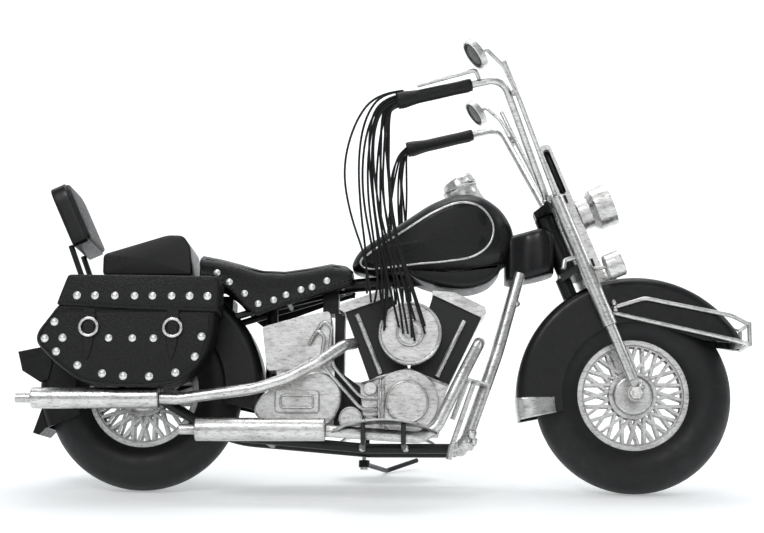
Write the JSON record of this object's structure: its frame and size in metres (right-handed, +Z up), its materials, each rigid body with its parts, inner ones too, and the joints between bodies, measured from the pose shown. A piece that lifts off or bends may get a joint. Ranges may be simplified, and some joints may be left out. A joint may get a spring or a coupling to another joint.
{
  "type": "tin model motorcycle",
  "caption": "Hand-soldered tin cruiser motorcycle leaning on its side stand, with saddlebags, wire-spoked wheels and leather fringe on the bars.",
  "frame": {"origin": "on the floor, under the middle of the bounding box of everything but the fringe", "axes": "+X points to the front wheel, +Y to the bike's left, where it leans onto its side stand, +Z up"},
  "size_m": [0.3782, 0.154, 0.2325],
  "materials": {
    "silver_paint": "hand-rubbed silver over black, worn and streaked",
    "black_paint": "satin black, hand brushed",
    "black_leather": "grained, matte",
    "black_tyre": "smooth satin black, no tread",
    "bright_steel": "dull bright"
  },
  "bodies": {
    "chassis": {"frame_backbone": "black_paint", "frame_rails": "black_paint", "downtubes": "silver_paint", "steering_head": "black_paint", "neck_cover": "black_paint", "fuel_tank": "black_paint", "instrument_pod": "silver_paint", "solo_seat": "black_leather", "studs": "bright_steel", "pillion_seat": "black_leather", "backrest_pad": "black_leather", "sissy_bar": "black_paint", "rear_fender": "black_paint", "tail_light": "black_paint", "saddlebag_right": "black_leather", "saddlebag_left": "black_leather", "bag_lids": "black_leather", "bag_straps": "black_leather", "bag_rings": "bright_steel", "muffler_upper": "silver_paint", "muffler_lower": "silver_paint", "header_rear": "silver_paint", "header_front": "silver_paint", "crankcase": "silver_paint", "cylinder_rear": "black_paint", "cylinder_front": "black_paint", "rocker_covers": "silver_paint", "pushrod_tubes": "silver_paint", "air_cleaner": "silver_paint", "cam_cover": "silver_paint", "gear_cover": "silver_paint", "primary_cover": "silver_paint", "oil_tank": "silver_paint", "oil_lines": "silver_paint", "footboards": "silver_paint", "forward_controls": "silver_paint", "kickstand_pin": "bright_steel", "rear_axle": "bright_steel"},
    "steering": {"fork_upper_tubes": "silver_paint", "fork_lower_tubes": "silver_paint", "fork_clamps": "black_paint", "fork_shroud": "silver_paint", "headlight": "silver_paint", "passing_lamps": "silver_paint", "handlebar": "silver_paint", "bar_braces": "silver_paint", "grips": "black_leather", "brake_lever": "silver_paint", "mirrors": "silver_paint", "front_fender": "black_paint", "fender_guard": "silver_paint", "front_axle": "bright_steel", "fringe": "black_leather"},
    "front_wheel": {"front_tyre": "black_tyre", "front_rim": "silver_paint", "front_hub": "silver_paint"},
    "rear_wheel": {"rear_tyre": "black_tyre", "rear_rim": "silver_paint", "rear_hub": "silver_paint"},
    "side_stand": {"kickstand": "black_paint"}
  },
  "joints": [
    {"name": "steering_turn", "type": "hinge", "parent": "chassis", "child": "steering", "pos_m": [0.08996, -0.00588, 0.12785], "axis": [-0.3714, 0.193, 0.9082], "range_deg": [-25, 31], "deforming": ["fringe"]},
    {"name": "front_wheel_spin", "type": "hinge", "parent": "steering", "child": "front_wheel", "pos_m": [0.12839, -0.02279, 0.04981], "axis": [0.0486, 0.9808, -0.1886], "continuous": true},
    {"name": "rear_wheel_spin", "type": "hinge", "parent": "chassis", "child": "rear_wheel", "pos_m": [-0.1251, -0.02248, 0.04974], "axis": [0, 0.9781, -0.2079], "continuous": true},
    {"name": "side_stand_fold", "type": "hinge", "parent": "chassis", "child": "side_stand", "pos_m": [-0.0111, -0.01115, 0.01166], "axis": [0.0054, 0.2429, 0.97], "range_deg": [0, 95]}
  ]
}
